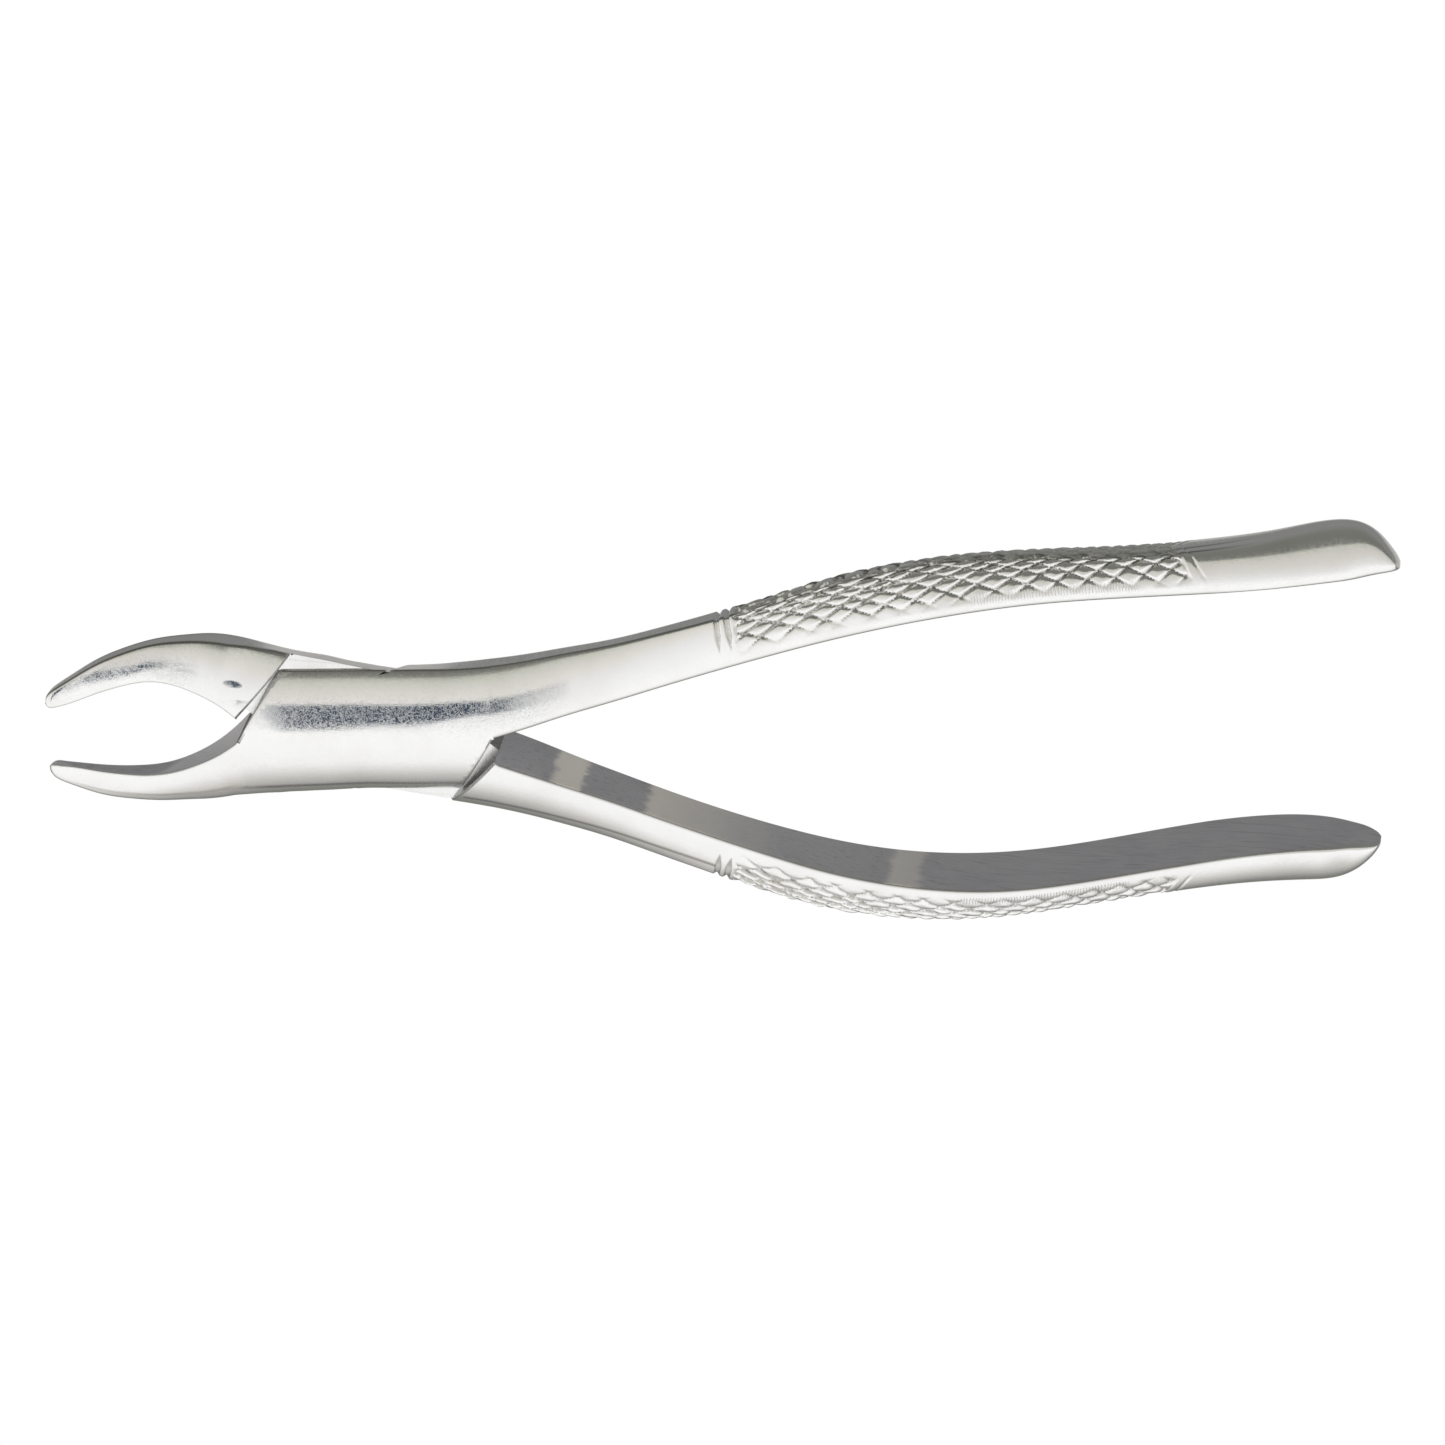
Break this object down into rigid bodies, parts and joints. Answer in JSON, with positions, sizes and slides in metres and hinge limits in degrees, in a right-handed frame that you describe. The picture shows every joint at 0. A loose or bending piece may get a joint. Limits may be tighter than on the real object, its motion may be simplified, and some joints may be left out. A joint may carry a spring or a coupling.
{
  "type": "dental extraction forceps",
  "caption": "Steel tooth extraction forceps with curved hollowed beaks, a half-lap screw joint and bowed handles with cross-cut grips.",
  "frame": {"origin": "pivot axis, at the mating plane of the lap joint", "axes": "+X from the pivot along the handles, beaks at -X; +Y is the opening direction, on the front arm's handle side; +Z along the pivot axis, out of the front face"},
  "size_m": [0.1686, 0.0528, 0.0386],
  "materials": {
    "forged_stainless": "mirror-polished faces, satin inner flats",
    "screw_stainless": "ground flush, fine turning marks"
  },
  "bodies": {
    "front_half": {"front_arm": "forged_stainless", "pivot_screw": "screw_stainless"},
    "rear_half": {"rear_arm": "forged_stainless"}
  },
  "joints": [
    {"name": "pivot", "type": "hinge", "parent": "front_half", "child": "rear_half", "pos_m": [0, 0, 0], "axis": [0, 0, 1], "range_deg": [-33, 11.3]}
  ]
}
